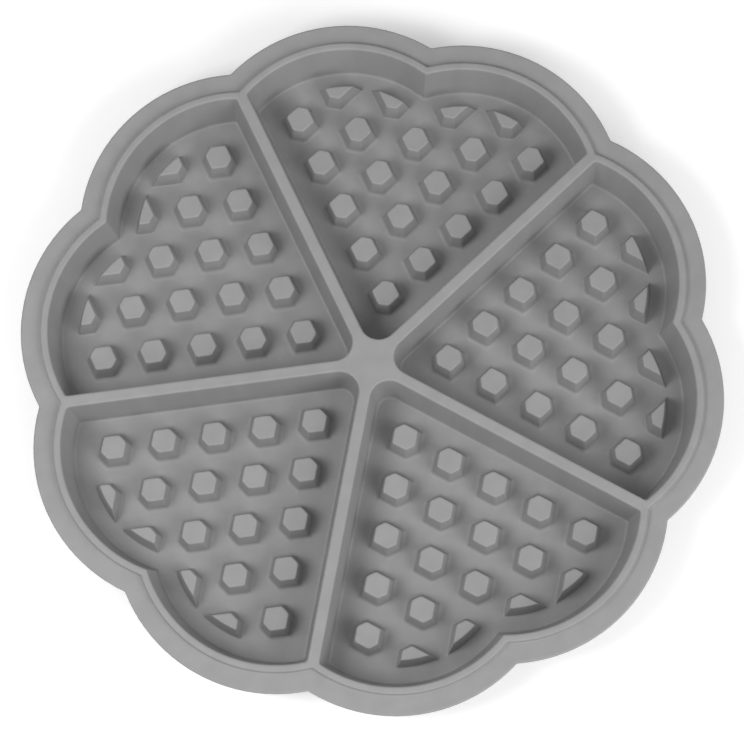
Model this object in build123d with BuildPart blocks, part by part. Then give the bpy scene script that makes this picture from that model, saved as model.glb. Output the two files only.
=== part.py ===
from build123d import *
import os
from math import cos, radians, sin, tan

# Silicone waffle mould: five heart-shaped cavities around a hub, in one scalloped flange.
# The origin is on the table plane, under the middle of the hub. +Z is up.
# The sector at the far side (+Y) is drawn first, and the other four are turned copies of it.

# Driving dimensions, in millimetres and degrees
heart_count = 5
lobe_distance = 60.8
cavity_radius = 42.3
lip_width = 2.3
flange_width = 6.4
cavity_depth = 16.7
lip_rise = 1.8
flange_thickness = 2.2
floor_thickness = 2.0
wall_thickness = 1.8
divider_width = 3.7
hub_corner = 6.1
lobe_draft = 9.5
divider_draft = 6.2
foot_bevel = 1.0

# Pegs: the first is this far from the hub along both dividers, the last row this far inside
# the lip at the top of a lobe, and the cut-off pegs keep this gap to the foot of the wall
first_peg = 15.3
peg_rows = 5
last_row_inset = 10.65
peg_height = 7.6
peg_width = 7.3
peg_half_length = 3.97
peg_draft = 10.0
peg_shell = 1.8
edge_peg_gap = 5.3

# Levels and angles that follow from them
peg_top = floor_thickness + peg_height
lip_top = floor_thickness + cavity_depth
flange_top = lip_top - lip_rise
flange_bottom = flange_top - flange_thickness
heart_angle = 360 / heart_count
lobe_angle = heart_angle / 2
step_radius = cavity_radius + lip_width
flange_radius = step_radius + flange_width
half_sector = radians(heart_angle / 2)
far_reach = 2 * (lobe_distance + flange_radius)
sector_x = far_reach * sin(half_sector)
sector_y = far_reach * cos(half_sector)
lobe_x = lobe_distance * sin(half_sector / 2)
lobe_y = lobe_distance * cos(half_sector / 2)
last_row_y = lobe_y + cavity_radius - last_row_inset
peg_pitch = (last_row_y / cos(half_sector) - 2 * first_peg) / peg_rows
RISING = (Align.CENTER, Align.CENTER, Align.MIN)

os.makedirs("parts", exist_ok=True)


def lobe_body(low, high, radius_low, radius_high):
    """Round-lobed disc: ten tapered lobes around a middle disc."""
    with BuildPart(Plane.XY.offset(low)) as body:
        Cylinder(lobe_distance, high - low, align=RISING)
        with PolarLocations(lobe_distance, 2 * heart_count):
            if radius_low == radius_high:
                Cylinder(radius_low, high - low, align=RISING)
            else:
                Cone(radius_low, radius_high, high - low, align=RISING)
    return body.part


def cavity_lobes(low, high, growth_low=0.0, growth_high=0.0):
    """Lobed disc with the sloping outer wall of the cavities as its side, moved out by a growth."""
    slope = tan(radians(lobe_draft))
    radius_low = cavity_radius - (lip_top - low) * slope + growth_low
    radius_high = cavity_radius - (lip_top - high) * slope + growth_high
    return lobe_body(low, high, radius_low, radius_high)


def divider_bar(low, high, half_low, half_high, turn):
    """Straight bar from the hub outwards along a divider, turned from +Y, wider at its foot."""
    across = Plane(
        origin=(0, 0, 0),
        x_dir=(-cos(turn), sin(turn), 0),
        z_dir=(sin(turn), cos(turn), 0),
    )
    with BuildPart() as bar:
        with BuildSketch(across):
            with BuildLine():
                Polyline(
                    (-half_low, low),
                    (half_low, low),
                    (half_high, high),
                    (-half_high, high),
                    close=True,
                )
            make_face()
        extrude(amount=far_reach)
    return bar.part


def hub_waste(low, high, radius_low, radius_high, centre_y):
    """What the round corner at the hub leaves out of the sharp corner between two dividers."""
    side_x = 2 * hub_corner * cos(half_sector)
    side_y = centre_y - 2 * hub_corner * sin(half_sector)
    with BuildPart(Plane.XY.offset(low)) as waste:
        with BuildSketch(Plane.XY.offset(low)):
            with BuildLine():
                Polyline((0, centre_y), (side_x, side_y), (0, 0), (-side_x, side_y), close=True)
            make_face()
        extrude(amount=high - low)
        with Locations((0, centre_y)):
            Cone(radius_low, radius_high, high - low, align=RISING, mode=Mode.SUBTRACT)
    return waste.part


def sector_space(low, high, growth_low=0.0, growth_high=0.0):
    """Space between two dividers: rounded at the hub, open outwards, narrowing downwards."""
    slope = tan(radians(divider_draft))
    inset_low = (lip_top - low) * slope - growth_low
    inset_high = (lip_top - high) * slope - growth_high
    half_low = divider_width / 2 + inset_low
    half_high = divider_width / 2 + inset_high
    bars = [divider_bar(low, high, half_low, half_high, side * half_sector) for side in (-1, 1)]
    centre_y = (divider_width / 2 + hub_corner) / sin(half_sector)
    waste = hub_waste(low, high, hub_corner - inset_low, hub_corner - inset_high, centre_y)
    with BuildPart() as space:
        with BuildSketch(Plane.XY.offset(low)):
            with BuildLine():
                Polyline((0, 0), (sector_x, sector_y), (-sector_x, sector_y), close=True)
            make_face()
        extrude(amount=high - low)
        add(bars, mode=Mode.SUBTRACT)
        add(waste, mode=Mode.SUBTRACT)
    return space.part


def heart_body(low, high, growth_low=0.0, growth_high=0.0):
    """Heart between two dividers, as wide as the cavity plus a growth on every side."""
    lobes = cavity_lobes(low, high, growth_low, growth_high)
    space = sector_space(low, high, growth_low, growth_high)
    with BuildPart() as heart:
        add(lobes)
        add(space, mode=Mode.INTERSECT)
    return heart.part


def peg_body(low, high, inset=0.0, open_ended=False):
    """Tapered peg on the origin axis, made smaller all round by an inset.

    It has six sides, or three that open outwards where a lobe cuts it off.
    """
    widening = (peg_top - low) * tan(radians(peg_draft)) - inset
    half_width = peg_width / 2 + widening
    half_length = peg_half_length + widening
    side_x = half_width / cos(half_sector)
    end_x = (half_width / sin(half_sector) - half_length) * tan(half_sector)
    if open_ended:
        open_y = 2 * peg_pitch
        open_x = side_x + open_y * tan(half_sector)
        outline = [(-end_x, -half_length), (end_x, -half_length), (open_x, open_y), (-open_x, open_y)]
    else:
        near = [(-side_x, 0), (-end_x, -half_length), (end_x, -half_length)]
        outline = [*near, (side_x, 0), (end_x, half_length), (-end_x, half_length)]
    with BuildPart() as peg:
        with BuildSketch(Plane.XY.offset(low)):
            with BuildLine():
                Polyline(*outline, close=True)
            make_face()
        extrude(amount=high - low, taper=peg_draft)
    return peg.part


def peg_site(left, right):
    """Middle of the peg that is so many steps along the left and the right divider."""
    site_x = (right - left) * peg_pitch * sin(half_sector)
    site_y = (2 * first_peg + (left + right) * peg_pitch) * cos(half_sector)
    return (site_x, site_y)


full_sites = [
    peg_site(left, right)
    for left in range(peg_rows)
    for right in range(peg_rows - left)
]
edge_sites = [peg_site(left, peg_rows - left) for left in range(1, peg_rows)]

# Flat scalloped flange around everything
flange_outline = lobe_body(flange_bottom, flange_top, flange_radius, flange_radius)
flange_inside = lobe_body(flange_bottom, flange_top, step_radius, step_radius)
with BuildPart() as rim_flange:
    add(flange_outline)
    add(flange_inside, mode=Mode.SUBTRACT)
rim_flange.part.label = "rim_flange"
export_step(rim_flange.part, "parts/rim_flange.step")

# Raised lip along the two lobes of one heart, ending on the middle lines of its dividers
lip_outline = lobe_body(flange_bottom, lip_top, step_radius, step_radius)
lip_inside = cavity_lobes(flange_bottom, lip_top)
with BuildPart() as heart_lip:
    with BuildSketch(Plane.XY.offset(flange_bottom)):
        with BuildLine():
            Polyline((0, 0), (sector_x, sector_y), (-sector_x, sector_y), close=True)
        make_face()
    extrude(amount=lip_top - flange_bottom)
    add(lip_outline, mode=Mode.INTERSECT)
    add(lip_inside, mode=Mode.SUBTRACT)

# Hub with the five dividers, level with the lip
space_at_top = sector_space(flange_bottom, lip_top)
with BuildPart() as divider_star:
    add(lip_inside)
    for heart in range(heart_count):
        add(space_at_top, rotation=(0, 0, -heart * heart_angle), mode=Mode.SUBTRACT)
divider_star.part.label = "divider_star"
export_step(divider_star.part, "parts/divider_star.step")

# Sloping wall of one heart cup, bevelled at the foot
cup_foot = heart_body(0, foot_bevel, wall_thickness - foot_bevel, wall_thickness)
cup_body = heart_body(foot_bevel, flange_bottom, wall_thickness, wall_thickness)
cup_inside = heart_body(0, flange_bottom)
with BuildPart() as cup_wall:
    add(cup_foot)
    add(cup_body)
    add(cup_inside, mode=Mode.SUBTRACT)

# Floor of one heart, open from below under every full peg
floor_plate = heart_body(0, floor_thickness)
peg_hollow = peg_body(0, peg_top - peg_shell, peg_shell)
with BuildPart() as cup_floor:
    add(floor_plate)
    with Locations(*full_sites):
        add(peg_hollow, mode=Mode.SUBTRACT)

# Full pegs of one heart, each a hollow cap on the floor
peg_solid = peg_body(floor_thickness, peg_top)
with BuildPart() as peg_caps:
    with Locations(*full_sites):
        add(peg_solid)
        add(peg_hollow, mode=Mode.SUBTRACT)

# Solid pegs along the lobes, cut off on the outside by a curve that follows the lobe
floor_radius = cavity_radius - cavity_depth * tan(radians(lobe_draft))
core_radius = floor_radius - edge_peg_gap
core_slope = peg_height * tan(radians(peg_draft))
open_peg = peg_body(floor_thickness, peg_top, open_ended=True)
with BuildPart(Plane.XY.offset(floor_thickness)) as lobe_cores:
    with Locations((-lobe_x, lobe_y), (lobe_x, lobe_y)):
        Cone(core_radius, core_radius - core_slope, peg_height, align=RISING)
with BuildPart() as trimmed_pegs:
    with Locations(*edge_sites):
        add(open_peg)
    add(lobe_cores.part, mode=Mode.INTERSECT)

# The five hearts, each in five pieces, going round clockwise from the far one
heart_pieces = {
    "heart_lip": heart_lip.part,
    "heart_wall": cup_wall.part,
    "heart_floor": cup_floor.part,
    "full_pegs": peg_caps.part,
    "edge_pegs": trimmed_pegs.part,
}
for heart in range(heart_count):
    for name, shape in heart_pieces.items():
        with BuildPart() as piece:
            add(shape, rotation=(0, 0, -heart * heart_angle))
        piece.part.label = f"{name}_{heart + 1}"
        export_step(piece.part, f"parts/{name}_{heart + 1}.step")
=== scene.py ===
from math import asin, atan2, cos, pi, radians, sin, sqrt, tan

import bmesh
import bpy
from mathutils import Matrix, Vector


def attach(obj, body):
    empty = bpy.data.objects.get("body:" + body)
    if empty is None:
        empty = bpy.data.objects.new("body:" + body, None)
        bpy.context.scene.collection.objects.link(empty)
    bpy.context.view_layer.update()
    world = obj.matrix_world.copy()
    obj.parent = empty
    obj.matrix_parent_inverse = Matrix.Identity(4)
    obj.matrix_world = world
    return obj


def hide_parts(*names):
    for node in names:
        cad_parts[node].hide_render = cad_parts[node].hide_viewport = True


# Looks of a silicone waffle mould with five heart-shaped cavities.
# Lengths are in millimetres until a piece is finished, when it is scaled to metres.
# Each heart is drawn in the far sector (+Y) and then turned to its place.

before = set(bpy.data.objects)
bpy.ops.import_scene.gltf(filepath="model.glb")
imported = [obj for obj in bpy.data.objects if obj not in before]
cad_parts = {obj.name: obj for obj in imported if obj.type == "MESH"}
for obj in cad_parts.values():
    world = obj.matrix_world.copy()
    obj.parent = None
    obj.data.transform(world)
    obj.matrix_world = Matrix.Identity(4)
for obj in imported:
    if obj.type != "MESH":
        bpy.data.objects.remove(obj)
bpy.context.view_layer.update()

# Sizes of the moulding
heart_count = 5
lobe_distance = 60.8
cavity_radius = 42.3
lip_width = 2.3
flange_width = 6.4
cavity_depth = 16.7
lip_rise = 1.8
flange_thickness = 2.2
floor_thickness = 2.0
wall_thickness = 1.8
divider_width = 3.7
hub_corner = 6.1
lobe_slope = tan(radians(9.5))
divider_slope = tan(radians(6.2))
first_peg = 15.3
peg_rows = 5
last_row_inset = 10.65
peg_height = 7.6
peg_width = 7.3
peg_half_length = 3.97
peg_slope = tan(radians(10.0))
peg_shell = 1.8
edge_peg_gap = 5.3

# Softened edges, which the frame leaves sharp, and the angle in degrees that still looks sharp
lip_round = 0.6
flange_round = 0.6
step_fillet = 0.6
floor_fillet = 0.7
foot_round = 1.0
peg_round = 0.4
peg_fillet = 1.0
edge_peg_fillet = 0.5
pit_round = 0.3
heart_corner = 0.9
peg_corner = 0.7
edge_peg_corner = 0.6
notch_corner = 0.4
sharp_angle = 36

# Narrow strip kept beside each softened edge, and how far in the mouth of a pit is half round
band = 0.25
mouth_share = 0.3

# Segments of the long curves
flange_segments = 22
lobe_segments = 30
hub_segments = 6
cut_segments = 8

# Finish of the silicone, as linear colour, shares and texture scales per metre
silicone_colour = (0.3, 0.3, 0.3)
silicone_specular = 0.4
cloud_scale = 28
cloud_shades = (0.965, 1.035)
streak_scale = 160
streak_stretch = 0.06
streak_shades = (0.97, 1.03)
dust_scale = 60
satin_roughness = 0.5
dusty_roughness = 0.62
grain_scale = 1400
grain_strength = 0.35
grain_height = 0.00004

# Studio, in metres and watts, with the camera where the photograph was taken from
floor_size = 3
floor_clearance = 0.0001
floor_colour = (0.93, 0.93, 0.93, 1)
floor_glow = 0.25
surrounding_light = 0.42
left_softbox_place = (-0.24, -0.15, 0.43)
left_softbox_size = 0.22
left_softbox_power = 1.15
right_softbox_place = (0.6, -0.32, 0.5)
right_softbox_size = 0.65
right_softbox_power = 4.2
camera_place = (0.06478, -0.22084, 1.04735)
camera_tilt = (12.3672, 1.2565, 10.6176)
camera_lens = 162.36
camera_sensor = 36

# Levels and angles that follow
peg_top = floor_thickness + peg_height
lip_top = floor_thickness + cavity_depth
flange_top = lip_top - lip_rise
flange_bottom = flange_top - flange_thickness
step_radius = cavity_radius + lip_width
flange_radius = step_radius + flange_width
half_sector = pi / heart_count
half_lobe = half_sector / 2
lobe_x = lobe_distance * sin(half_lobe)
lobe_y = lobe_distance * cos(half_lobe)
last_row_y = lobe_y + cavity_radius - last_row_inset
peg_pitch = (last_row_y / cos(half_sector) - 2 * first_peg) / peg_rows
edge_peg_reach = cavity_radius - cavity_depth * lobe_slope - edge_peg_gap
MILLIMETRE = 0.001
WHITE = (1, 1, 1, 1)

# The fill leaves gaps where many points are level, so the mesh is turned by this meanwhile
fill_turn = 0.31


# Outlines

def around(centre, radius, angle):
    """Point on a circle."""
    return Vector((centre[0] + radius * cos(angle), centre[1] + radius * sin(angle)))


def arc(centre, radius, start, end, steps):
    """Points along an arc, both ends included."""
    angles = [start + (end - start) * step / steps for step in range(steps + 1)]
    return [around(centre, radius, angle) for angle in angles]


def softened(before, corner, after, steps):
    """Points of a curve that rounds a corner off, without its two ends."""
    points = []
    for step in range(1, steps):
        t = step / steps
        points.append((1 - t) ** 2 * before + 2 * t * (1 - t) * corner + t * t * after)
    return points


def rounded_polygon(corners, cut, steps=3):
    """Closed outline with straight sides and rounded corners."""
    points = []
    for index, corner in enumerate(corners):
        before = corner + (corners[index - 1] - corner).normalized() * cut
        following = corners[(index + 1) % len(corners)]
        after = corner + (following - corner).normalized() * cut
        points += [before, *softened(before, corner, after, steps), after]
    return points


def notch_turn(radius):
    """Angle at a lobe's centre from its outward direction to its notch."""
    notch_reach = lobe_distance * cos(half_lobe) + sqrt(
        radius**2 - (lobe_distance * sin(half_lobe)) ** 2
    )
    return asin(notch_reach * sin(half_lobe) / radius)


def lobed_outline(radius):
    """Ten-lobed outline around the hub, with slightly rounded notches."""
    points = []
    turn = notch_turn(radius)
    cut = notch_corner / radius
    for lobe in range(2 * heart_count):
        outward = -2 * half_lobe * lobe
        centre = around((0, 0), lobe_distance, outward)
        points += arc(centre, radius, outward + turn - cut, outward - turn + cut, flange_segments)
        corner = around(centre, radius, outward - turn)
        next_outward = outward - 2 * half_lobe
        next_centre = around((0, 0), lobe_distance, next_outward)
        after = around(next_centre, radius, next_outward + turn - cut)
        points += softened(points[-1], corner, after, 3)
    return points


def heart_outline(level, growth):
    """Outline of a heart-shaped cavity at a level, moved outwards by a growth."""
    depth = lip_top - level
    radius = cavity_radius - depth * lobe_slope + growth
    half_divider = divider_width / 2 + depth * divider_slope - growth
    hub_radius = hub_corner - depth * divider_slope + growth
    centre = around((0, 0), lobe_distance, pi / 2 - half_lobe)
    along = around((0, 0), 1, pi / 2 - half_sector)
    inward = Vector((-along.y, along.x))
    # where the side of the divider meets the lobe
    run = centre.dot(along)
    offset = centre.dot(inward) - half_divider
    corner = along * (run + sqrt(radius**2 - offset**2)) + inward * half_divider
    start = pi / 2 - half_lobe + notch_turn(radius)
    end = atan2(corner.y - centre.y, corner.x - centre.x)
    cut = heart_corner / radius
    right = arc(centre, radius, start - notch_corner / radius, end + cut, lobe_segments)
    before_line = corner - along * heart_corner
    right += softened(right[-1], corner, before_line, 4)
    right.append(before_line)
    hub_y = (divider_width / 2 + hub_corner) / sin(half_sector)
    hub_half = arc((0, hub_y), hub_radius, -half_sector, -pi / 2, hub_segments)
    right += hub_half[:-1]
    left = [Vector((-p.x, p.y)) for p in reversed(right)]
    notch = around(centre, radius, start)
    return [*right, hub_half[-1], *left, *softened(left[-1], notch, right[0], 4)]


def peg_corners(level, growth):
    """Corners of a six-sided peg around its middle, clockwise from the one at +X."""
    widening = (peg_top - level) * peg_slope + growth
    half_width = peg_width / 2 + widening
    half_length = peg_half_length + widening
    side_x = half_width / cos(half_sector)
    end_x = (half_width / sin(half_sector) - half_length) * tan(half_sector)
    return [
        Vector((side_x, 0)),
        Vector((end_x, -half_length)),
        Vector((-end_x, -half_length)),
        Vector((-side_x, 0)),
        Vector((-end_x, half_length)),
        Vector((end_x, half_length)),
    ]


def full_peg_outline(site, level, growth):
    """Outline of a full peg."""
    corners = [site + corner for corner in peg_corners(level, growth)]
    return rounded_polygon(corners, peg_corner)


def crossing(start, direction, centre, radius):
    """Point where a line from a point leaves a circle."""
    offset = start - centre
    along = offset.dot(direction)
    return start + direction * (sqrt(along**2 - offset.length_squared + radius**2) - along)


def edge_peg_outline(site, level, growth):
    """Outline of a peg whose outer side is cut off along the lobe."""
    centre = Vector((lobe_x if site.x > 0 else -lobe_x, lobe_y))
    radius = edge_peg_reach - (level - floor_thickness) * peg_slope + growth
    near_right, near_left = (site + corner for corner in peg_corners(level, growth)[1:3])
    left = crossing(near_left, around((0, 0), 1, pi / 2 + half_sector), centre, radius)
    right = crossing(near_right, around((0, 0), 1, pi / 2 - half_sector), centre, radius)
    left_angle, right_angle = (atan2(p.y - centre.y, p.x - centre.x) for p in (left, right))
    curve = arc(centre, radius, left_angle, right_angle, cut_segments)
    cut = edge_peg_corner + max(growth, 0)
    points = []
    for before, corner, after in (
        (near_left, left, curve[1]),
        (curve[-2], right, near_right),
        (right, near_right, near_left),
        (near_right, near_left, left),
    ):
        start = corner + (before - corner).normalized() * cut
        end = corner + (after - corner).normalized() * cut
        points += [start, *softened(start, corner, end, 4), end]
        if corner is left:
            points += curve[1:-1]
    return points


def peg_site(left, right):
    """Middle of the peg that is so many steps along the left and the right divider."""
    across = (right - left) * peg_pitch * sin(half_sector)
    along = (2 * first_peg + (left + right) * peg_pitch) * cos(half_sector)
    return Vector((across, along))


# Mesh building

def ring_edges(bm, verts):
    """Edges of a closed loop of vertices."""
    return [bm.edges.get((vert, verts[index - 1])) for index, vert in enumerate(verts)]


def sweep(bm, outline_at, profile):
    """Surface through an outline at every (level, growth) of a profile: first and last ring."""
    level, growth = profile[0]
    first = [bm.verts.new((point.x, point.y, level)) for point in outline_at(level, growth)]
    for index, vert in enumerate(first):
        bm.edges.new((vert, first[index - 1]))
    ring = first
    for level, growth in profile[1:]:
        grown = bmesh.ops.extrude_edge_only(bm, edges=ring_edges(bm, ring))["geom"]
        fresh = {item for item in grown if isinstance(item, bmesh.types.BMVert)}
        moved = []
        for vert, point in zip(ring, outline_at(level, growth)):
            twins = [edge.other_vert(vert) for edge in vert.link_edges]
            twin = next(other for other in twins if other in fresh)
            twin.co = (point.x, point.y, level)
            moved.append(twin)
        ring = moved
    return ring_edges(bm, first), ring_edges(bm, ring)


def fill(bm, rings):
    """Flat surface between the outermost ring and the others."""
    edges = [edge for ring in rings for edge in ring]
    turn = Matrix.Rotation(fill_turn, 3, "Z")
    bmesh.ops.rotate(bm, verts=bm.verts, cent=(0, 0, 0), matrix=turn)
    bmesh.ops.triangle_fill(bm, use_beauty=True, edges=edges, normal=(0, 0, 1))
    bmesh.ops.rotate(bm, verts=bm.verts, cent=(0, 0, 0), matrix=turn.inverted())


def top_round(top, radius, steps=4):
    """Profile that rounds an outer edge off, from the flat top down to the side."""
    turns = [pi / 2 * (1 - step / steps) for step in range(steps + 1)]
    curve = [(top - radius + radius * sin(a), -radius * (1 - cos(a))) for a in turns]
    return [(top, -radius - band), *curve, (top - radius - band, 0)]


def foot_fillet(foot, radius, steps=4):
    """Profile of a hollow curve at the foot of an upright side, from the side to the flat."""
    turns = [pi / 2 * step / steps for step in range(steps + 1)]
    curve = [(foot + radius - radius * sin(a), radius * (1 - cos(a))) for a in turns]
    return [(foot + radius + band, 0), *curve, (foot, radius + band)]


def turned_in(profile):
    """The same profile on the inner side of an opening."""
    return [(level, -growth) for level, growth in profile]


def upside_down(profile, middle):
    """The same profile mirrored in height about a level."""
    return [(2 * middle - level, growth) for level, growth in profile]


def finish_mesh(bm, name, turn=0.0):
    """Piece in metres and in its place, with smooth faces between sharp edges."""
    bmesh.ops.recalc_face_normals(bm, faces=bm.faces)
    bmesh.ops.rotate(bm, verts=bm.verts, cent=(0, 0, 0), matrix=Matrix.Rotation(turn, 3, "Z"))
    bmesh.ops.scale(bm, verts=bm.verts, vec=(MILLIMETRE, MILLIMETRE, MILLIMETRE))
    for face in bm.faces:
        face.smooth = True
    mesh = bpy.data.meshes.new(name)
    bm.to_mesh(mesh)
    mesh.set_sharp_from_angle(angle=radians(sharp_angle))
    piece = bpy.data.objects.new(name, mesh)
    bpy.context.scene.collection.objects.link(piece)
    return piece


def turned(outline_at, turn):
    """Outline function of a heart turned to another place."""
    rotation = Matrix.Rotation(turn, 2)

    def outline(level, growth):
        return [rotation @ point for point in outline_at(level, growth)]

    return outline


# Rim: the flange, the lip, the dividers and the hub in one shell

def build_rim():
    """Everything above the underside of the flange."""
    bm = bmesh.new()

    def side(level, growth):
        return lobed_outline(flange_radius + growth)

    middle = (flange_top + flange_bottom) / 2
    flange_edge = top_round(flange_top, flange_round)
    lip_side = top_round(lip_top, lip_round) + foot_fillet(flange_top, step_fillet)
    profile = [(level, growth - flange_width) for level, growth in lip_side]
    profile += flange_edge + upside_down(flange_edge, middle)[::-1]
    lip_ring, under_ring = sweep(bm, side, profile)
    top_rings = [lip_ring]
    under_rings = [under_ring]
    for heart in range(heart_count):
        outline = turned(heart_outline, -heart * 2 * half_sector)
        profile = turned_in(top_round(lip_top, lip_round)) + [(flange_bottom, 0)]
        top_edge, under_edge = sweep(bm, outline, profile)
        top_rings.append(top_edge)
        under_rings.append(under_edge)
    fill(bm, top_rings)
    fill(bm, under_rings)
    return finish_mesh(bm, "rim")


# Heart cup: the wall, the floor and the pegs of one heart in one shell

def build_cup(heart):
    """Everything below the underside of the flange in one heart."""
    bm = bmesh.new()
    inside = [(flange_bottom, 0)] + turned_in(foot_fillet(floor_thickness, floor_fillet))
    foot = upside_down(top_round(0, foot_round), 0)[::-1]
    profile = inside[::-1] + [(flange_bottom, wall_thickness)]
    profile += [(level, wall_thickness + growth) for level, growth in foot]
    floor_ring, foot_ring = sweep(bm, heart_outline, profile)

    peg_rim = top_round(peg_top, peg_round)
    pit_top = peg_top - peg_shell
    mouth = pit_round * mouth_share
    pit_profile = [(0, band + pit_round - peg_shell), (0, pit_round - peg_shell)]
    pit_profile += [(mouth, mouth - peg_shell), (pit_round, -peg_shell)]
    pit_profile += [(pit_top - band, -peg_shell), (pit_top, -peg_shell - band)]
    floor_rings = [floor_ring]
    under_rings = [foot_ring]
    for left in range(peg_rows + 1):
        for right in range(peg_rows + 1 - left):
            site = peg_site(left, right)
            is_full = left + right < peg_rows
            if not is_full and 0 in (left, right):
                continue
            draw = full_peg_outline if is_full else edge_peg_outline
            fillet = peg_fillet if is_full else edge_peg_fillet
            peg_profile = peg_rim + foot_fillet(floor_thickness, fillet)

            def peg_side(level, growth, site=site, draw=draw):
                return draw(site, level, growth)

            peg_cap, peg_foot = sweep(bm, peg_side, peg_profile)
            fill(bm, [peg_cap])
            floor_rings.append(peg_foot)
            if is_full:
                pit_mouth, pit_end = sweep(bm, peg_side, pit_profile)
                fill(bm, [pit_end])
                under_rings.append(pit_mouth)
    fill(bm, floor_rings)
    fill(bm, under_rings)
    return finish_mesh(bm, f"heart_cup_{heart + 1}", -heart * 2 * half_sector)


# Silicone

def new_group(name, outputs):
    """Empty node group with the given outputs."""
    group = bpy.data.node_groups.new(name, "ShaderNodeTree")
    for label, kind in outputs:
        group.interface.new_socket(name=label, in_out="OUTPUT", socket_type=kind)
    return group


def noise(tree, vector, scale, detail, roughness=0.5):
    """Noise texture in object space."""
    node = tree.nodes.new("ShaderNodeTexNoise")
    node.inputs["Scale"].default_value = scale
    node.inputs["Detail"].default_value = detail
    node.inputs["Roughness"].default_value = roughness
    tree.links.new(vector, node.inputs["Vector"])
    return node.outputs["Fac"]


def remap(tree, value, low, high, to_low, to_high):
    """Value stretched from one range to another and kept inside it."""
    node = tree.nodes.new("ShaderNodeMapRange")
    node.inputs["From Min"].default_value = low
    node.inputs["From Max"].default_value = high
    node.inputs["To Min"].default_value = to_low
    node.inputs["To Max"].default_value = to_high
    tree.links.new(value, node.inputs["Value"])
    return node.outputs["Result"]


def product(tree, first, second):
    """Two values multiplied."""
    node = tree.nodes.new("ShaderNodeMath")
    node.operation = "MULTIPLY"
    tree.links.new(first, node.inputs[0])
    tree.links.new(second, node.inputs[1])
    return node.outputs["Value"]


def make_moulded_surface():
    """Shade, roughness and normal of moulded silicone."""
    outputs = [
        ("Shade", "NodeSocketFloat"),
        ("Roughness", "NodeSocketFloat"),
        ("Normal", "NodeSocketVector"),
    ]
    group = new_group("moulded_surface", outputs)
    place = group.nodes.new("ShaderNodeTexCoord").outputs["Object"]
    exit_node = group.nodes.new("NodeGroupOutput")

    # cloudy patches of shade, and faint upright streaks left by the mould
    clouds = remap(group, noise(group, place, cloud_scale, 3), 0.3, 0.7, *cloud_shades)
    upright = group.nodes.new("ShaderNodeMapping")
    upright.inputs["Scale"].default_value = (1, 1, streak_stretch)
    group.links.new(place, upright.inputs["Vector"])
    stretched = noise(group, upright.outputs["Vector"], streak_scale, 2)
    streaks = remap(group, stretched, 0.35, 0.65, *streak_shades)
    shade = product(group, clouds, streaks)
    group.links.new(shade, exit_node.inputs["Shade"])

    # satin areas, duller where dust clings
    dust = noise(group, place, dust_scale, 4, 0.6)
    roughness = remap(group, dust, 0.3, 0.7, satin_roughness, dusty_roughness)
    group.links.new(roughness, exit_node.inputs["Roughness"])

    # fine grain of the mould's surface
    bump = group.nodes.new("ShaderNodeBump")
    bump.inputs["Strength"].default_value = grain_strength
    bump.inputs["Distance"].default_value = grain_height
    group.links.new(noise(group, place, grain_scale, 3), bump.inputs["Height"])
    group.links.new(bump.outputs["Normal"], exit_node.inputs["Normal"])
    return group


def make_silicone(surface):
    """Matte mid-grey silicone."""
    material = bpy.data.materials.new("silicone")
    material.use_nodes = True
    tree = material.node_tree
    shader = tree.nodes["Principled BSDF"]
    effect = tree.nodes.new("ShaderNodeGroup")
    effect.node_tree = surface
    tint = tree.nodes.new("ShaderNodeVectorMath")
    tint.operation = "SCALE"
    tint.inputs[0].default_value = silicone_colour
    tree.links.new(effect.outputs["Shade"], tint.inputs["Scale"])
    tree.links.new(tint.outputs["Vector"], shader.inputs["Base Color"])
    tree.links.new(effect.outputs["Roughness"], shader.inputs["Roughness"])
    tree.links.new(effect.outputs["Normal"], shader.inputs["Normal"])
    shader.inputs["Specular IOR Level"].default_value = silicone_specular
    return material


silicone = make_silicone(make_moulded_surface())

rim = build_rim()
cups = [build_cup(heart) for heart in range(heart_count)]
for piece in [rim, *cups]:
    piece.data.materials.append(silicone)
    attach(piece, "root")
numbers = range(1, heart_count + 1)
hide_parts("rim_flange", "divider_star", *[f"heart_lip_{n}" for n in numbers])
for number, cup in zip(numbers, cups):
    parts = ("heart_wall", "heart_floor", "full_pegs", "edge_pegs")
    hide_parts(*[f"{part}_{number}" for part in parts])


# Floor, light and camera

def seen_by_camera(tree, lighting, seen):
    """One value where a surface lights the object, and another where the camera sees it."""
    rays = tree.nodes.new("ShaderNodeLightPath")
    return remap(tree, rays.outputs["Is Camera Ray"], 0, 1, lighting, seen)


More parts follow.
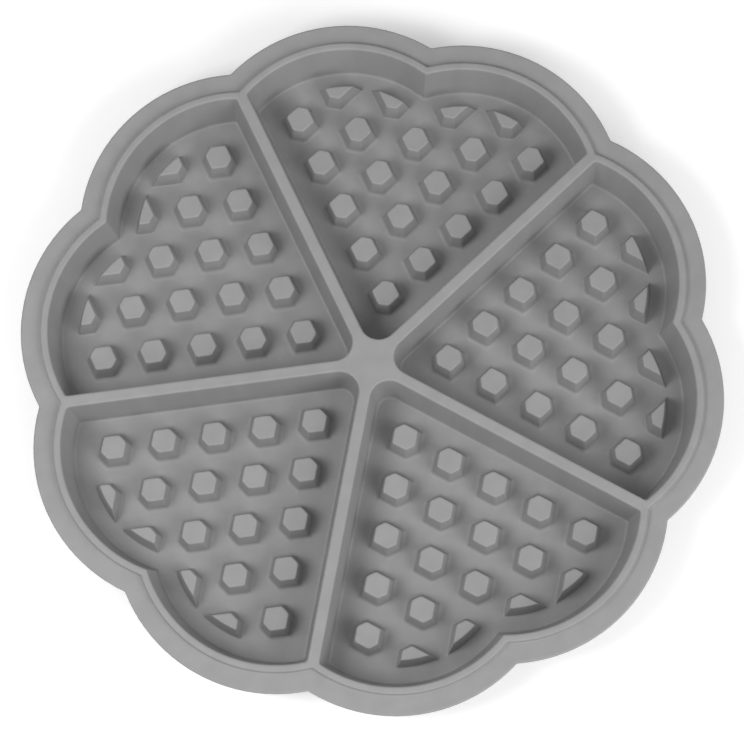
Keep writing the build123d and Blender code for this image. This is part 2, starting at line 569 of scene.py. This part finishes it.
def make_floor():
    """Plain white floor, which glows a little to the camera so that only a soft shadow shows."""
    bm = bmesh.new()
    bmesh.ops.create_grid(bm, x_segments=1, y_segments=1, size=floor_size)
    bmesh.ops.translate(bm, verts=bm.verts, vec=(0, 0, -floor_clearance))
    mesh = bpy.data.meshes.new("floor")
    bm.to_mesh(mesh)
    floor = bpy.data.objects.new("floor", mesh)
    bpy.context.scene.collection.objects.link(floor)
    material = bpy.data.materials.new("floor_white")
    material.use_nodes = True
    tree = material.node_tree
    shader = tree.nodes["Principled BSDF"]
    shader.inputs["Base Color"].default_value = floor_colour
    shader.inputs["Emission Color"].default_value = WHITE
    tree.links.new(seen_by_camera(tree, 0, floor_glow), shader.inputs["Emission Strength"])
    shader.inputs["Roughness"].default_value = 0.9
    shader.inputs["Specular IOR Level"].default_value = 0.1
    floor.data.materials.append(material)
    return floor


def add_softbox(name, place, size, power):
    """Square area light that points at the middle of the floor."""
    data = bpy.data.lights.new(name, "AREA")
    data.shape = "SQUARE"
    data.size = size
    data.energy = power
    light = bpy.data.objects.new(name, data)
    light.location = place
    light.rotation_euler = (-Vector(place)).to_track_quat("-Z", "Y").to_euler()
    bpy.context.scene.collection.objects.link(light)


make_floor()
add_softbox("left_softbox", left_softbox_place, left_softbox_size, left_softbox_power)
add_softbox("right_softbox", right_softbox_place, right_softbox_size, right_softbox_power)

world = bpy.data.worlds.new("studio")
world.use_nodes = True
background = world.node_tree.nodes["Background"]
background.inputs["Color"].default_value = WHITE
strength = seen_by_camera(world.node_tree, surrounding_light, 1)
world.node_tree.links.new(strength, background.inputs["Strength"])
bpy.context.scene.world = world

camera_data = bpy.data.cameras.new("camera")
camera_data.sensor_width = camera_sensor
camera_data.lens = camera_lens
camera_data.clip_start = 0.05
camera_data.clip_end = 20
camera = bpy.data.objects.new("camera", camera_data)
camera.location = camera_place
camera.rotation_euler = [radians(angle) for angle in camera_tilt]
bpy.context.scene.collection.objects.link(camera)
bpy.context.scene.camera = camera

view = bpy.context.scene.view_settings
view.view_transform = "Standard"
